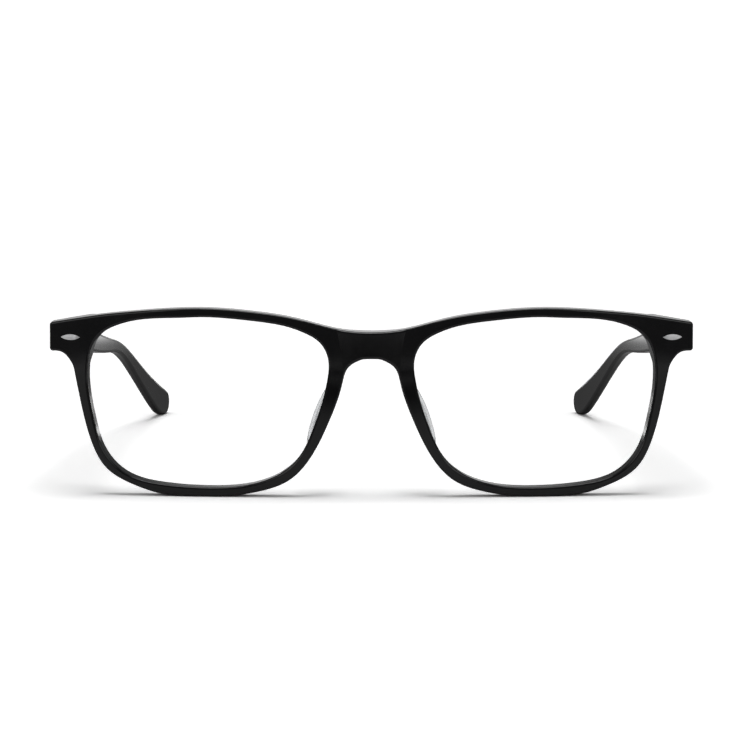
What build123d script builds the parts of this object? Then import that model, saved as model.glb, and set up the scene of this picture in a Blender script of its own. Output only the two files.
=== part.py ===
from build123d import *
from math import cos, radians, sin
import os

# Eyeglasses frame in cast acetate with five-barrel metal hinges, standing open on the bottom of its
# rims and on its temple tips.  Millimetres.  +X is the wearer's left, the front faces -Y and the
# temples run towards +Y.  Everything is drawn for the +X side, with y = 0 at the middle of the lens
# opening's front face, is mirrored for the -X side, and is centred over the origin when it is saved.

# ---------------------------------------------------------------- driving dimensions
HALF_WIDTH = 70.5            # middle plane to the end piece's outer face
LENS_X = 35.5                # centre of the lens opening
LENS_Z = 20.6
WRAP = 4.0                   # each rim is turned outwards by this angle, in degrees
BASE_RADIUS = 180.0          # sphere of the rim's front face
RIM_DEPTH = 4.0              # front face to rear face
EDGE_ROUND = 0.45            # polished edges of the front
CORNER_ROUND = 0.65          # corners of the end piece, seen from the front

BRIDGE_RADIUS = 60.0         # the bridge's front face, round about a nearly upright axis
BRIDGE_FRONT_Y = 0.48        # its foremost line at the top of the bridge
BRIDGE_LEAN = 1.9            # degrees that its top is set back
BRIDGE_HALF_WIDTH = 8.5      # it runs this far into the rims
BRIDGE_REAR_Y = 6.0
BRIDGE_REAR_RADIUS = 24.0
BRIDGE_REAR_LEAN = 3.0       # degrees that the top of the rear face is set back
BRIDGE_FOOT_Z = 27.0
BRIDGE_EDGE_ROUND = 0.57

JOINT_Y = 11.0               # rear face of the end piece, where the temple butts
JOINT_GAP = 0.08
BLOCK_SLOPE = [(57.0, 5.0), (60.3, 7.9), (61.9, JOINT_Y)]   # inner side of the deep end piece (x, y)
BLOCK_UNDERSIDE = [(5.0, 26.6), (JOINT_Y, 31.5)]             # its sloping underside (y, z)

LENS_INSET = 1.1             # rim's front face to the lens
LENS_DEPTH = 1.8
BEVEL_REACH = 0.5            # how far the groove enters the rim
BEVEL_SLOPE = 1.6            # run of the V along the lens normal, for each unit of reach
LENS_PLAY = 0.05
GROOVE_OVERRUN = 0.3         # the groove's cutter is carried on this far into the opening

PIVOT_X = 64.6               # the hinge screw's axis
PIVOT_Y = JOINT_Y + 1.45
HINGE_Z = 34.9               # middle of the five barrels
BARREL_RADIUS = 1.3
BARREL_COUNT = 5
BARREL_PITCH = 0.91
BARREL_GAP = 0.05
SCREW_RADIUS = 0.7
SCREW_HEAD_RADIUS = 1.05
SCREW_HEAD_HEIGHT = 0.45
SCREW_SLOT = 0.3
SCREW_PLAY = 0.04
LEAF_THICKNESS = 0.9
LEAF_HEIGHT = 4.4
LEAF_TAPER = 0.4             # the temple's leaf narrows by this towards its end
FRONT_LEAF_INNER_X = 62.5
TEMPLE_LEAF_START_Y = 13.3
TEMPLE_LEAF_END_Y = 22.0
LEG_DEPTH = 1.0              # the leaves' legs, sunk into the acetate
LEG_WIDTH = 1.2
LEG_HEIGHT = 0.9
LEG_SPACING = 2.4

TEMPLE_INNER_X = 66.2        # inner face at the joint
TEMPLE_ROUND = 0.7           # long edges
TIP_RADIUS = 3.2             # the tip, seen from the side
TIP_Y = 139.1                # where the tip touches the ground
TIP_SLOPE = -21.5            # degrees of the upper edge at the tip
CORE_HEIGHT = 1.4
CORE_THICKNESS = 0.8

PAD_LENGTH = 15.5            # nose pad along the rim
PAD_REACH = 6.0              # behind the rim
PAD_THICKNESS = 2.0
PAD_SPLAY = 12.0             # degrees that the pad opens towards the rear
PAD_ROUND = 0.8
PAD_MIDDLE = (10.55, 17.4)   # on the rim (x, z)
PAD_TILT = 21.0              # degrees that the rim leans there

PIN_X = 65.8                 # lozenge-shaped pin head on the end piece
PIN_Z = 34.7
PIN_LENGTH = 4.4
PIN_HEIGHT = 1.25
PIN_PROUD = 0.4
PIN_SUNK = 0.25
PIN_FLANK = 0.12             # height of its upright sides
PIN_SHANK_RADIUS = 0.45
PIN_SHANK_LENGTH = 2.2

# ---------------------------------------------------------------- outlines
# Upper edge of the front, from the bridge to the end piece (x, z).
TOP_EDGE = [(0, 36.2), (7.2, 36.8), (15.8, 39.0), (26.2, 40.7), (38.0, 41.4), (54.2, 40.3),
            (HALF_WIDTH, 37.8)]
# Under the end piece and into the outer side of the rim.
UNDER_EDGE = [(69.2, 31.6), (67.0, 30.85), (65.85, 29.45), (64.45, 24.4)]
# Down the outer side of the rim to its lowest point.
OUTER_EDGE = [(64.45, 24.4), (61.15, 11.15), (57.95, 5.8), (51.1, 2.0), (34.7, 0)]
OUTER_EDGE_START = (-0.2, -0.98)
# From the lowest point up the nose side of the rim to the underside of the bridge.
NOSE_EDGE = [(34.7, 0), (25.3, 1.05), (17.9, 3.75), (13.05, 9.05), (9.05, 17.05), (6.3, 25.0),
             (4.8, 28.7), (2.4, 30.1), (0, 30.35)]
# Lens opening in the lens plane, from its centre outwards (+ towards the ear).
OPENING = [(3.9, 18.75), (12.6, 18.4), (20.5, 16.75), (24.6, 14.1), (26.75, 8.0), (25.6, -3.2),
           (23.05, -11.1), (17.9, -15.95), (11.0, -17.8), (0, -18.5), (-11.2, -17.2), (-18.7, -12.8),
           (-22.9, -4.9), (-25.85, 5.65), (-25.35, 11.75), (-21.0, 15.35), (-9.5, 18.05)]

OPENING_STEPS = 36           # points that a larger or smaller copy of it goes through

# Temple from the side (y, z): upper and lower edges from the joint towards the tip.
TEMPLE_TOP = [(JOINT_Y, 37.8), (60, 30.2), (84, 26.2), (96, 23.9), (109.3, 19.2), (125, 12.3)]
TEMPLE_LOW = [(JOINT_Y, 31.85), (60, 25.3), (80, 23.0), (95, 20.95), (109.3, 14.8), (121.5, 7.8),
              (130.0, 2.95)]
# Temple from above (y, x): the inner face and the outer face.
TEMPLE_INNER = [(JOINT_Y, TEMPLE_INNER_X), (60, 65.2), (90, 63.3), (115, 59.7), (145, 53.5)]
TEMPLE_OUTER = [(JOINT_Y, HALF_WIDTH), (60, 68.4), (90, 65.9), (115, 61.9), (145, 56.1)]
# The wire core inside it: its middle from the side (y, z) and its inner face from above (y, x).
CORE_SIDE = [(12, 34.8), (60, 27.75), (84, 24.35), (96, 22.3), (109.3, 17.0), (125, 9.1), (133, 5.4)]
CORE_PLAN = [(12, 68.6), (60, 66.4), (90, 64.2), (115, 60.4), (133, 56.8)]


# ---------------------------------------------------------------- shared geometry
TURN = radians(WRAP)
SPHERE_CENTRE = (LENS_X - BASE_RADIUS * sin(TURN), BASE_RADIUS * cos(TURN), LENS_Z)
LENS_PLANE = Plane(origin=(LENS_X, 0, LENS_Z), x_dir=(cos(TURN), sin(TURN), 0),
                   z_dir=(sin(TURN), -cos(TURN), 0))
THROUGH = 30.0               # long enough to pass through the front
FAR = 200.0                  # long enough to pass through everything
TEMPLE_SLOPE = (TEMPLE_TOP[1][1] - TEMPLE_TOP[0][1]) / (TEMPLE_TOP[1][0] - TEMPLE_TOP[0][0])
CENTRE_Y = (TIP_Y + TIP_RADIUS) / 2


def ball(radius):
    """Solid inside a sphere that is concentric with the rim's front face."""
    return Pos(*SPHERE_CENTRE) * Sphere(radius)


def block(low, high):
    """Box between two corners."""
    size = [b - a for a, b in zip(low, high)]
    middle = [(a + b) / 2 for a, b in zip(low, high)]
    return Pos(*middle) * Box(*size)


def front_outline():
    """Outline of the half front."""
    top = Spline(TOP_EDGE, tangents=[(1, 0), (1, -0.18)])
    side = Line(TOP_EDGE[-1], (HALF_WIDTH, UNDER_EDGE[0][1]))
    bottom = Line((HALF_WIDTH, UNDER_EDGE[0][1]), UNDER_EDGE[0])
    under = Spline(UNDER_EDGE, tangents=[(-1, 0), OUTER_EDGE_START])
    outer = Spline(OUTER_EDGE, tangents=[OUTER_EDGE_START, (-1, 0)])
    nose = Spline(NOSE_EDGE, tangents=[(-1, 0), (-1, 0)])
    middle = Line(NOSE_EDGE[-1], TOP_EDGE[0])
    outline = make_face([top, side, bottom, under, outer, nose, middle])
    corners = [v for v in outline.vertices() if abs(v.X - HALF_WIDTH) < 0.01]
    return fillet(corners, CORNER_ROUND)


def opening_prism(grow=0.0):
    """The lens opening, larger by grow all round, run through the front along the lens normal."""
    drawn = Spline(OPENING, periodic=True)
    outline = []
    for step in range(OPENING_STEPS):
        place = step / OPENING_STEPS
        run = drawn % place
        outline.append(drawn @ place + Vector(-run.Y, run.X) * grow)
    return extrude(LENS_PLANE * make_face(Spline(outline, periodic=True)), amount=THROUGH, both=True)


def lens_blank(reach, bevel, play=0.0):
    """A curved disc with a V-shaped edge that reaches past the opening, cut back by bevel."""
    front = BASE_RADIUS - LENS_INSET + play
    back = BASE_RADIUS - LENS_INSET - LENS_DEPTH - play
    disc = opening_prism(reach) & (ball(front) - ball(back))
    for side in (0, -1):
        face = disc.faces().filter_by(GeomType.SPHERE).sort_by(Axis.Y)[side]
        disc = chamfer(face.edges(), bevel, bevel * BEVEL_SLOPE, reference=face)
    return disc


def lens():
    """The lens, a little smaller than its groove."""
    return lens_blank(BEVEL_REACH - LENS_PLAY, BEVEL_REACH)


def groove():
    """Cutter for the rim's groove: the lens edge with play, carried on into the opening."""
    bevel = BEVEL_REACH + GROOVE_OVERRUN
    return lens_blank(BEVEL_REACH, bevel, LENS_PLAY + GROOVE_OVERRUN * BEVEL_SLOPE)


def outer_prism():
    """The half front's outline, run through from front to back."""
    return extrude(Plane.XZ * front_outline(), amount=THROUGH, both=True)


def lies_on_ball(edge, radius):
    """True for an edge on the sphere of that radius."""
    centre = Vector(*SPHERE_CENTRE)
    return all(abs((edge @ t - centre).length - radius) < 0.01 for t in (0.1, 0.5, 0.9))


def rim():
    """One rim up to the middle plane, with its end piece at rim depth and all its edges rounded."""
    shell = ball(BASE_RADIUS) - ball(BASE_RADIUS - RIM_DEPTH)
    shell = shell & block((0, -THROUGH, -1), (FAR, THROUGH, FAR)) & outer_prism() - opening_prism()
    for radius in (BASE_RADIUS, BASE_RADIUS - RIM_DEPTH):
        edges = [e for e in shell.edges() if lies_on_ball(e, radius) and (e @ 0.5).X > 0.01]
        shell = shell.fillet(EDGE_ROUND, edges)
    return shell


def end_block():
    """The deep part behind the end piece, which holds the hinge and meets the temple."""
    front_y = BLOCK_SLOPE[0][1]
    plan = [*BLOCK_SLOPE, (FAR, JOINT_Y), (FAR, front_y)]
    side = [*BLOCK_UNDERSIDE, (JOINT_Y, FAR), (front_y, FAR)]
    deep = extrude(make_face(Polyline(*plan, close=True)), amount=FAR)
    deep = deep & extrude(Plane.YZ * make_face(Polyline(*side, close=True)), amount=FAR)
    return deep & ball(BASE_RADIUS - 2 * EDGE_ROUND) & outer_prism() - opening_prism()


def bridge():
    """The bridge, round at the front and at the rear, running into both rims."""
    front_axis_y = BRIDGE_FRONT_Y + BRIDGE_RADIUS
    rear_axis_y = BRIDGE_REAR_Y - BRIDGE_REAR_RADIUS
    top_z = TOP_EDGE[0][1]
    front_round = Pos(0, front_axis_y, top_z) * Rot(-BRIDGE_LEAN, 0, 0) * Cylinder(BRIDGE_RADIUS, FAR)
    rear_round = Cylinder(BRIDGE_REAR_RADIUS, FAR)
    rear_round = Pos(0, rear_axis_y, top_z) * Rot(-BRIDGE_REAR_LEAN, 0, 0) * rear_round
    half = outer_prism() & block((0, -THROUGH, BRIDGE_FOOT_Z), (BRIDGE_HALF_WIDTH, THROUGH, FAR))
    body = front_round & rear_round & (half + mirror(half, about=Plane.YZ))
    curved = [e for e in body.edges().filter_by(GeomType.BSPLINE) if (e @ 0.5).Z > BRIDGE_FOOT_Z + 0.1]
    across = [e for e in curved if abs((e @ 0.5).X) < BRIDGE_HALF_WIDTH - 0.1]
    return body.fillet(BRIDGE_EDGE_ROUND, across)


def temple_side():
    """The temple's outline from the side, with its round tip."""
    slope = radians(TIP_SLOPE)
    centre = (TIP_Y, TIP_RADIUS)
    top_end = (centre[0] - TIP_RADIUS * sin(slope), centre[1] + TIP_RADIUS * cos(slope))
    top = Spline([*TEMPLE_TOP, top_end], tangents=[(1, -0.167), (cos(slope), sin(slope))])
    low = Spline([*TEMPLE_LOW, (TIP_Y, 0)], tangents=[(1, -0.125), (1, 0)])
    tip = ThreePointArc(top_end, (centre[0] + TIP_RADIUS, centre[1]), (TIP_Y, 0))
    return make_face([top, tip, low, Line(TEMPLE_LOW[0], TEMPLE_TOP[0])])


def strip(first, second):
    """Flat strip between two curves that start and end level with each other."""
    one = Spline(first)
    two = Spline(second)
    return make_face([one, Line(one @ 1, two @ 1), two, Line(two @ 0, one @ 0)])


def from_above(inner, outer):
    """Solid between two upright walls, each drawn from above as (y, x)."""
    return extrude(strip([(x, y) for y, x in inner], [(x, y) for y, x in outer]), amount=FAR)


def temple_blank():
    """The temple with polished edges, before it is cut for its hinge leaf and its core."""
    body = extrude(Plane.YZ * temple_side(), amount=FAR) & from_above(TEMPLE_INNER, TEMPLE_OUTER)
    body = body & block((0, JOINT_Y + JOINT_GAP, -1), (FAR, FAR, FAR))
    edges = [e for e in body.edges() if (e @ 0.5).Y > JOINT_Y + 1]
    return body.fillet(TEMPLE_ROUND, edges)


def temple_core():
    """Flat wire that stiffens the temple and lets an optician bend it."""
    half = CORE_HEIGHT / 2
    side = strip([(y, z + half) for y, z in CORE_SIDE], [(y, z - half) for y, z in CORE_SIDE])
    outer = [(y, x + CORE_THICKNESS) for y, x in CORE_PLAN]
    return extrude(Plane.YZ * side, amount=FAR) & from_above(CORE_PLAN, outer)


def barrels(members, hole_radius, web_low, web_high):
    """The barrels of one leaf, counted from the lowest, each with its web (x and y corners)."""
    height = BARREL_PITCH - BARREL_GAP
    solids = []
    for number in members:
        z = HINGE_Z + (number - (BARREL_COUNT - 1) / 2) * BARREL_PITCH
        ring = Pos(PIVOT_X, PIVOT_Y, z) * Cylinder(BARREL_RADIUS, height)
        web = block((*web_low, z - height / 2), (*web_high, z + height / 2))
        hole = Pos(PIVOT_X, PIVOT_Y, z) * Cylinder(hole_radius, height)
        solids.append(ring + web - hole)
    return solids


def front_hinge_leaf():
    """Plate let into the end piece's rear face, with two legs and three barrels."""
    low_z = HINGE_Z - LEAF_HEIGHT / 2
    outer_x = PIVOT_X + BARREL_RADIUS
    rear_corner = (outer_x, JOINT_Y, low_z + LEAF_HEIGHT)
    leaf = block((FRONT_LEAF_INNER_X, JOINT_Y - LEAF_THICKNESS, low_z), rear_corner)
    middle_x = (FRONT_LEAF_INNER_X + outer_x) / 2
    for z in (HINGE_Z - LEG_SPACING / 2, HINGE_Z + LEG_SPACING / 2):
        depth = LEAF_THICKNESS + LEG_DEPTH
        leaf += Pos(middle_x, JOINT_Y - depth / 2, z) * Box(LEG_WIDTH, depth, LEG_HEIGHT)
    web_low = (PIVOT_X - BARREL_RADIUS, JOINT_Y - LEAF_THICKNESS / 2)
    for barrel in barrels((0, 2, 4), SCREW_RADIUS + SCREW_PLAY / 2, web_low, (outer_x, PIVOT_Y)):
        leaf += barrel
    return leaf


def temple_hinge_leaf():
    """Plate let into the temple's inner face, with two legs and two barrels."""
    drop = TEMPLE_SLOPE * (TEMPLE_LEAF_END_Y - TEMPLE_LEAF_START_Y)
    start, end = TEMPLE_LEAF_START_Y, TEMPLE_LEAF_END_Y
    low = HINGE_Z - LEAF_HEIGHT / 2
    high = HINGE_Z + LEAF_HEIGHT / 2
    corners = [(start, low), (end, low + drop + LEAF_TAPER), (end, high + drop), (start, high)]
    plate = make_face(Polyline(*corners, close=True))
    plate = fillet(plate.vertices().sort_by(Axis.X)[-2:], LEAF_HEIGHT / 3)
    face = from_above(TEMPLE_INNER, [(y, x + LEAF_THICKNESS) for y, x in TEMPLE_INNER])
    leaf = extrude(Plane.YZ * plate, amount=FAR) & face
    for y in (start + LEG_SPACING, end - LEG_SPACING):
        z = HINGE_Z + TEMPLE_SLOPE * (y - start)
        depth = LEG_DEPTH + LEAF_THICKNESS / 2
        x = TEMPLE_INNER_X + LEAF_THICKNESS / 3 + depth / 2
        leaf += Pos(x, y, z) * Box(depth, LEG_WIDTH, LEG_HEIGHT)
    web_high = (TEMPLE_INNER_X + LEAF_THICKNESS, PIVOT_Y + BARREL_RADIUS)
    web_low = (PIVOT_X, PIVOT_Y - BARREL_RADIUS)
    for barrel in barrels((1, 3), SCREW_RADIUS + SCREW_PLAY, web_low, web_high):
        leaf += barrel
    return leaf


def hinge_screw():
    """Slotted screw, put in from above through all five barrels."""
    height = BARREL_COUNT * BARREL_PITCH
    top = HINGE_Z + height / 2
    screw = Pos(PIVOT_X, PIVOT_Y, HINGE_Z) * Cylinder(SCREW_RADIUS, height)
    head = Cylinder(SCREW_HEAD_RADIUS, SCREW_HEAD_HEIGHT)
    screw += Pos(PIVOT_X, PIVOT_Y, top + SCREW_HEAD_HEIGHT / 2) * head
    slot = Box(2 * BARREL_RADIUS, SCREW_SLOT, SCREW_HEAD_HEIGHT)
    slot = Pos(PIVOT_X, PIVOT_Y, top + SCREW_HEAD_HEIGHT) * slot
    return screw - slot


def nose_pad():
    """Clear pad cemented to the rear of the rim beside the nose."""
    tilt = radians(PAD_TILT)
    splay = radians(PAD_SPLAY)
    along = Vector(-sin(tilt), 0, cos(tilt))
    outward = Vector(cos(tilt), 0, sin(tilt))
    rearward = Vector(0, 1, 0) * cos(splay) + outward * sin(splay)
    root = Vector(PAD_MIDDLE[0], RIM_DEPTH, PAD_MIDDLE[1])
    seat = Plane(origin=root, x_dir=rearward, z_dir=rearward.cross(along))
    half = PAD_LENGTH / 2
    edge = ThreePointArc((-1, -half - 0.5), (PAD_REACH, -half / 6), (-1, half + 0.5))
    profile = make_face([edge, Line(edge @ 1, edge @ 0)])
    pad = extrude(seat * profile, amount=PAD_THICKNESS / 2, both=True)
    pad = pad.fillet(PAD_ROUND, [e for e in pad.edges() if e.geom_type == GeomType.CIRCLE])
    return pad & ball(BASE_RADIUS - RIM_DEPTH)


def end_pin():
    """Ridged lozenge on the front of the end piece, with the shank that holds it."""
    centre = Vector(*SPHERE_CENTRE)
    aim = Vector(PIN_X, 0, PIN_Z) - Vector(centre.X, 0, centre.Z)
    depth = (BASE_RADIUS ** 2 - aim.length ** 2) ** 0.5
    spot = Vector(PIN_X, centre.Y - depth, PIN_Z)
    face = Plane(origin=spot, x_dir=(cos(aim.X / BASE_RADIUS), sin(aim.X / BASE_RADIUS), 0),
                 z_dir=spot - centre)
    tip = PIN_LENGTH / 2
    upper = ThreePointArc((-tip, 0), (0, PIN_HEIGHT / 2), (tip, 0))
    lower = ThreePointArc((tip, 0), (0, -PIN_HEIGHT / 2), (-tip, 0))
    head = extrude(make_face([upper, lower]), amount=PIN_PROUD)
    half = PIN_HEIGHT / 2
    roof = Polyline((-half, 0), (-half, PIN_FLANK), (0, PIN_PROUD), (half, PIN_FLANK), (half, 0), close=True)
    head = head & extrude(Plane.YZ * make_face(roof), amount=tip, both=True)
    sweep_radius = tip ** 2 / 2 / (PIN_PROUD - PIN_FLANK)
    crown = Pos(0, 0, PIN_PROUD - sweep_radius) * Rot(90, 0, 0) * Cylinder(sweep_radius, PIN_HEIGHT)
    head = head & crown
    head += extrude(make_face([upper, lower]), amount=-PIN_SUNK)
    shank = Pos(0, 0, -PIN_SUNK - PIN_SHANK_LENGTH / 2) * Cylinder(PIN_SHANK_RADIUS, PIN_SHANK_LENGTH)
    return face * (head + shank)


def front_frame(leaf, pin):
    """The whole front: two grooved rims, the bridge and the end pieces, in one piece of acetate."""
    half = rim() + end_block() - groove() - leaf - pin
    return half + mirror(half, about=Plane.YZ) + bridge()


def save(name, solid):
    """Writes one node, centred over the origin."""
    solid = Pos(0, -CENTRE_Y, 0) * solid
    solid.label = name
    export_step(solid, f"parts/{name}.step")


os.makedirs("parts", exist_ok=True)
front_leaf = front_hinge_leaf()
temple_leaf = temple_hinge_leaf()
core = temple_core()
pin = end_pin()
one_side = {
    "lens": lens(),
    "nose_pad": nose_pad(),
    "end_pin": pin,
    "front_hinge_leaf": front_leaf,
    "temple_hinge_leaf": temple_leaf,
    "hinge_screw": hinge_screw(),
    "temple": temple_blank() - temple_leaf - core,
    "temple_core": core,
}
save("front_frame", front_frame(front_leaf, pin))
for name, solid in one_side.items():
    save(f"{name}_left", solid)
    save(f"{name}_right", mirror(solid, about=Plane.YZ))
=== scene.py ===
"""A pair of black acetate eyeglasses standing open on a white studio floor.

The CAD model is shown as it is. This script gives every part of it a finish, and adds the studio
and the camera. All lengths are in metres.
"""

from math import radians

import bpy
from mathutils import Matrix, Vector


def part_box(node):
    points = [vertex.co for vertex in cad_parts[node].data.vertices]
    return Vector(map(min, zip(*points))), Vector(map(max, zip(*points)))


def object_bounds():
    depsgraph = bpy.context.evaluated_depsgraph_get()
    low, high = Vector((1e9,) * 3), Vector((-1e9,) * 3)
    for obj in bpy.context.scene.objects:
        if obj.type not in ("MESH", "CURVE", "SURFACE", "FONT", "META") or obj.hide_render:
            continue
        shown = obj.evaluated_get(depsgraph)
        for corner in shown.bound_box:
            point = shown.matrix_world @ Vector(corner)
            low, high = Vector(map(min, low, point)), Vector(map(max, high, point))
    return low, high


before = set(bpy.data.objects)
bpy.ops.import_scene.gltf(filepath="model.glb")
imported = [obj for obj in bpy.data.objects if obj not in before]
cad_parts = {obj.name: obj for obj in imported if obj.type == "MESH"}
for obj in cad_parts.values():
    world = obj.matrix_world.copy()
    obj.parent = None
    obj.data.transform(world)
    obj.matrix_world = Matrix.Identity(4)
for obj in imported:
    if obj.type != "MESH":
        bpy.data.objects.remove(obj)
cad_low, cad_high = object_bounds()
front_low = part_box("front_frame")[0]

# The camera, in front of the rims and above the floor
CAMERA_DISTANCE = 0.600
CAMERA_HEIGHT = 0.09817
CAMERA_PITCH = radians(6.827)
CAMERA_LENS = 132.54         # in millimetres, as the sensor's width
CAMERA_SENSOR = 36.0
CAMERA_SHIFT = 0.00873
CAMERA_CLIP = (0.01, 60.0)

# The floor
FLOOR_RADIUS = 14.0
FLOOR_SIDES = 96
FLOOR_ALBEDO = 0.52
FLOOR_SEEN = 1.45            # the floor's brightness in the picture, burnt out to white
FLOOR_SEEN_FAR = 2.6         # and far behind, where less light falls on it
SEEN_NEAR, SEEN_FAR = 0.3, 2.2       # distances between which it goes from one to the other
# Patches of painted light and painted shade on the floor, which only the gloss and bounced light
# see:
# where each lies, between which distances it fades, and how light it is
PAINTED_LIGHT_AND_SHADE_PATCHES = [
    ((0.0, 0.36, 0.0), 0.06, 0.13, 2.8),        # painted pool of light, mirrored by the temples near the hinges
    ((0.0, -0.33, 0.0), 0.05, 0.22, 0.06),      # painted shade, mirrored by the front
    ((0.0, -0.80, 0.0), 0.15, 0.38, 0.06),      # painted shade, mirrored by the bridge and the top of the front
    ((0.0, 0.12, 0.0), 0.05, 0.16, 0.2),        # painted shade, mirrored by the temples and inside the rims
]

# The light: an even sky, panels of light, and the walls of the studio
SKY_POWER = 1.3
SKY_SPREAD = radians(35)
PANELS = [                   # name, place, width, height and power
    ("overhead", (0, 0.25, 1.1), 1.3, 0.9, 2.0),
    ("side_panel", (-1.1, 0.1, 0.45), 0.7, 0.7, 0.8),
    ("pin_glint", (-0.75, -0.95, 0.55), 0.7, 0.7, 2.3),
    ("side_panel", (1.1, 0.1, 0.45), 0.7, 0.7, 0.8),
    ("pin_glint", (0.75, -0.95, 0.55), 0.7, 0.7, 2.3),
]
WALLS_SEEN = 1.1             # their brightness in the picture
WALLS_FELT = 0.11            # and as the glasses mirror them
BACKDROP_FELT = 0.85         # the lit backdrop towards +Y
# Cosines of the angles from +Y where the backdrop begins and where it is fully lit
BACKDROP_EDGE, BACKDROP_CORE = 0.978, 0.997

# Noise seldom leaves this range, so it is the range that finishes are spread over.
NOISE_LOW, NOISE_HIGH = 0.3, 0.7
ALONG_X, ALONG_Y = 0, 1
HAIRLINE_STRETCH = 0.06


# ---------------------------------------------------------------------------------------------
# Finishes
# ---------------------------------------------------------------------------------------------
class Nodes:
    """Makes the nodes of one material or world."""

    def __init__(self, tree):
        self.tree = tree

    def feed(self, socket, value):
        """Joins an output to a socket, or sets the socket to a plain value."""
        if isinstance(value, bpy.types.NodeSocket):
            self.tree.links.new(value, socket)
        else:
            socket.default_value = value

    def node(self, kind, *in_order, settings=(), **by_name):
        """A new node with its settings. Its inputs are fed in order, or by name."""
        made = self.tree.nodes.new("ShaderNode" + kind)
        for name, value in dict(settings).items():
            setattr(made, name, value)
        for socket, value in zip(made.inputs, in_order):
            self.feed(socket, value)
        for name, value in by_name.items():
            self.feed(made.inputs[name.replace("_", " ")], value)
        return made

    def maths(self, operation, a, b):
        return self.node("Math", a, b, settings={"operation": operation}).outputs["Value"]

    def ranged(self, value, low, high, start=NOISE_LOW, end=NOISE_HIGH, curve="LINEAR"):
        """low to high, as value goes from start to end."""
        made = self.node(
            "MapRange",
            settings={"interpolation_type": curve},
            Value=value,
            From_Min=start,
            From_Max=end,
            To_Min=low,
            To_Max=high,
        )
        return made.outputs["Result"]

    def ramp(self, value, first_colour, last_colour, start=NOISE_LOW, end=NOISE_HIGH):
        """One colour to another, as value goes from start to end."""
        made = self.node("ValToRGB", Fac=value)
        first, last = made.color_ramp.elements
        first.position, first.color = start, (*first_colour, 1.0)
        last.position, last.color = end, (*last_colour, 1.0)
        return made.outputs["Color"]


class Finish(Nodes):
    """A procedural material, which starts as one Principled shader."""

    def __init__(self, name, **values):
        self.material = bpy.data.materials.new(name)
        self.material.use_nodes = True
        super().__init__(self.material.node_tree)
        self.shader = self.tree.nodes["Principled BSDF"]
        self.place = self.node("TexCoord").outputs["Object"]
        for socket, value in values.items():
            self.feed(self.shader.inputs[socket.replace("_", " ")], value)

    def noise(self, scale, detail=3.0, rough=0.5, distort=0.0, where=None):
        made = self.node(
            "TexNoise",
            Vector=where or self.place,
            Scale=scale,
            Detail=detail,
            Roughness=rough,
            Distortion=distort,
        )
        return made.outputs["Fac"]

    def hairlines(self, scale, along):
        """Fine marks that run along one axis, as tumbling and wiping leave."""
        stretch = [1.0, 1.0, 1.0]
        stretch[along] = HAIRLINE_STRETCH
        where = self.node("Mapping", Vector=self.place, Scale=stretch).outputs["Vector"]
        return self.noise(scale, detail=5.0, rough=0.65, where=where)

    def colour(self, value, first_colour, last_colour):
        mixed = self.ramp(value, first_colour, last_colour)
        self.feed(self.shader.inputs["Base Color"], mixed)

    def rough(self, value, low, high):
        self.feed(self.shader.inputs["Roughness"], self.ranged(value, low, high))

    def bump(self, height, distance, strength):
        made = self.node("Bump", Height=height, Distance=distance, Strength=strength)
        self.feed(self.shader.inputs["Normal"], made.outputs["Normal"])


def acetate(name):
    """Black cellulose acetate, tumbled and buffed: slightly uneven, with wiping marks."""
    made = Finish(name, IOR=1.48)
    clouds = made.noise(70.0, detail=4.0, distort=1.2)
    made.colour(clouds, (0.0022, 0.0022, 0.0026), (0.0050, 0.0049, 0.0056))
    haze = made.noise(420.0, detail=6.0, rough=0.6)
    wipes = made.hairlines(2600.0, ALONG_X)
    marks = made.maths("ADD", made.maths("MULTIPLY", haze, 0.6), made.maths("MULTIPLY", wipes, 0.4))
    made.rough(marks, 0.055, 0.115)
    waves = made.noise(110.0, detail=1.0)
    made.bump(waves, distance=0.00003, strength=0.3)
    return made.material


def lens_plastic(name, straight, aslant):
    """A thin clear lens with a coating that stops its reflections. It lets light through unbent,
    and less of it where it is looked at aslant. Smears change that slightly."""
    made = Finish(name)
    smears = made.noise(90.0, detail=5.0, distort=2.5)
    facing = made.node("LayerWeight", Blend=0.3).outputs["Facing"]
    thickness = made.maths("ADD", facing, made.maths("MULTIPLY", smears, 0.1))
    tint = made.ramp(thickness, straight, aslant, start=0.12, end=0.95)
    through = made.node("BsdfTransparent", Color=tint)
    out = made.tree.nodes["Material Output"]
    made.feed(out.inputs["Surface"], through.outputs["BSDF"])
    made.tree.nodes.remove(made.shader)
    return made.material


def clear(name, tint, smeared, rough):
    """Clear moulded plastic with faint smears."""
    made = Finish(name, Transmission_Weight=1.0, IOR=1.25)
    smears = made.noise(260.0, detail=5.0, distort=2.5)
    made.colour(smears, tint, smeared)
    made.rough(smears, *rough)
    return made.material


def metal(name, dark, light, rough, along, depth):
    """Plated metal with a fine brushed grain along one axis."""
    made = Finish(name, Metallic=1.0)
    tone = made.noise(900.0, detail=4.0)
    made.colour(tone, dark, light)
    grain = made.hairlines(9000.0, along)
    made.rough(grain, *rough)
    made.bump(grain, depth, strength=0.6)
    return made.material


black_acetate = acetate("black_acetate")
clear_lens = lens_plastic(
    "clear_lens", straight=(0.995, 0.995, 0.995), aslant=(0.55, 0.57, 0.58)
)
clear_pad = clear(
    "clear_pad", tint=(0.72, 0.73, 0.74), smeared=(0.62, 0.63, 0.64), rough=(0.10, 0.2)
)
silver_pin = metal(
    "silver_pin", (0.82, 0.82, 0.83), (0.93, 0.93, 0.94), (0.3, 0.42), ALONG_X, 0.000004
)
hinge_metal = metal(
    "hinge_metal", (0.5, 0.49, 0.47), (0.66, 0.65, 0.62), (0.2, 0.36), ALONG_Y, 0.000006
)
core_wire = metal(
    "core_wire", (0.55, 0.53, 0.5), (0.68, 0.66, 0.62), (0.25, 0.4), ALONG_Y, 0.000006
)

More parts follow.
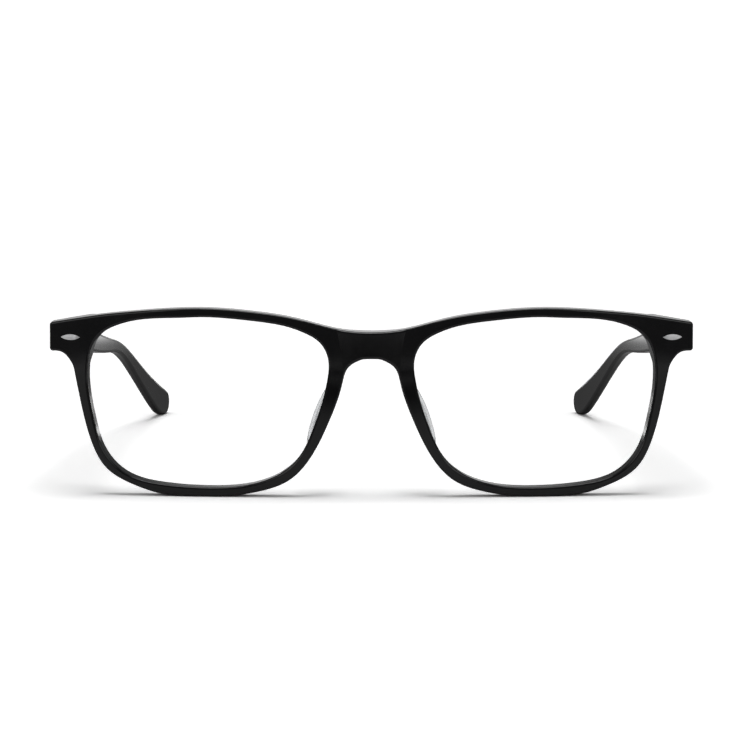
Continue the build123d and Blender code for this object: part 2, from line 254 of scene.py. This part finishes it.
FINISHES = {
    "front_frame": black_acetate,
    "temple": black_acetate,
    "temple_core": core_wire,
    "temple_hinge_leaf": hinge_metal,
    "front_hinge_leaf": hinge_metal,
    "hinge_screw": hinge_metal,
    "lens": clear_lens,
    "nose_pad": clear_pad,
    "end_pin": silver_pin,
}
for name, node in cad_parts.items():
    part = name.removesuffix("_left").removesuffix("_right")
    node.data.materials.clear()
    node.data.materials.append(FINISHES[part])


# ---------------------------------------------------------------------------------------------
# Studio
# ---------------------------------------------------------------------------------------------
def add(name, data):
    """A light or camera, placed in the scene."""
    made = bpy.data.objects.new(name, data)
    bpy.context.scene.collection.objects.link(made)
    return made


def studio_floor():
    """A wide white floor. What the camera sees of it is printed brighter than what the gloss
    reflects, as on a product picture with a burnt-out background. What the gloss reflects carries
    patches of painted light and painted shade."""
    bpy.ops.mesh.primitive_circle_add(
        vertices=FLOOR_SIDES, radius=FLOOR_RADIUS, fill_type="NGON"
    )
    floor = bpy.context.object
    floor.name = "floor"
    floor.location = (0, 0, cad_low.z)
    material = bpy.data.materials.new("floor")
    material.use_nodes = True
    material.node_tree.nodes.clear()
    made = Nodes(material.node_tree)
    place = made.node("TexCoord").outputs["Object"]

    def ringed(middle, inner, outer, inside, outside):
        """A value inside a round patch that fades to another outside it."""
        away = made.node("VectorMath", place, middle, settings={"operation": "DISTANCE"})
        value = away.outputs["Value"]
        return made.ranged(value, inside, outside, inner, outer, curve="SMOOTHSTEP")

    # What light and gloss meet: the floor's own albedo, with patches of painted light and painted
    # shade laid over it
    felt = FLOOR_ALBEDO
    for middle, inner, outer, painted_tone in PAINTED_LIGHT_AND_SHADE_PATCHES:
        felt = ringed(middle, inner, outer, painted_tone, felt)
    printed = ringed((0, 0, 0), SEEN_NEAR, SEEN_FAR, FLOOR_SEEN, FLOOR_SEEN_FAR)
    path = made.node("LightPath").outputs
    seen = made.maths("MAXIMUM", path["Is Camera Ray"], path["Is Transmission Ray"])
    colour = made.node("Mix", settings={"data_type": "RGBA"}, Factor=seen, A=felt, B=printed)
    diffuse = made.node("BsdfDiffuse", Color=colour.outputs["Result"])
    made.node("OutputMaterial", Surface=diffuse.outputs["BSDF"])
    floor.data.materials.append(material)


def softbox(name, place, width, height, power):
    """A rectangular panel of light that is aimed at the glasses."""
    light = bpy.data.lights.new(name, "AREA")
    light.shape = "RECTANGLE"
    light.size, light.size_y = width, height
    light.energy = power
    made = add(name, light)
    made.location = place
    aim = (cad_low + cad_high) / 2 - Vector(place)
    made.rotation_euler = aim.to_track_quat("-Z", "Y").to_euler()
    made.visible_camera = False


def surroundings():
    """A white background for the camera. Light and reflections meet a dim room instead, with a lit
    backdrop behind the glasses."""
    world = bpy.data.worlds.new("studio")
    bpy.context.scene.world = world
    world.use_nodes = True
    made = Nodes(world.node_tree)
    direction = made.node("TexCoord").outputs["Generated"]
    behind = made.node(
        "VectorMath", direction, (0.0, 1.0, 0.0), settings={"operation": "DOT_PRODUCT"}
    )
    felt = made.ranged(
        behind.outputs["Value"],
        WALLS_FELT,
        BACKDROP_FELT,
        BACKDROP_EDGE,
        BACKDROP_CORE,
        curve="SMOOTHSTEP",
    )
    seen = made.node("LightPath").outputs["Is Camera Ray"]
    brightness = made.node(
        "Mix", settings={"data_type": "FLOAT"}, Factor=seen, A=felt, B=WALLS_SEEN
    )
    background = made.tree.nodes["Background"]
    made.feed(background.inputs["Strength"], brightness.outputs["Result"])
    background.inputs["Color"].default_value = (1, 1, 1, 1)


studio_floor()
surroundings()
sky = add("sky_panel", bpy.data.lights.new("sky_panel", "SUN"))
sky.data.energy = SKY_POWER
sky.data.angle = SKY_SPREAD
for panel in PANELS:
    softbox(*panel)

camera = add("camera", bpy.data.cameras.new("camera"))
camera.location = (0, front_low.y - CAMERA_DISTANCE, cad_low.z + CAMERA_HEIGHT)
camera.rotation_euler = (radians(90) - CAMERA_PITCH, 0, 0)
camera.data.lens = CAMERA_LENS
camera.data.sensor_width = CAMERA_SENSOR
camera.data.shift_x = CAMERA_SHIFT
camera.data.clip_start, camera.data.clip_end = CAMERA_CLIP
bpy.context.scene.camera = camera
bpy.context.scene.view_settings.view_transform = "Standard"
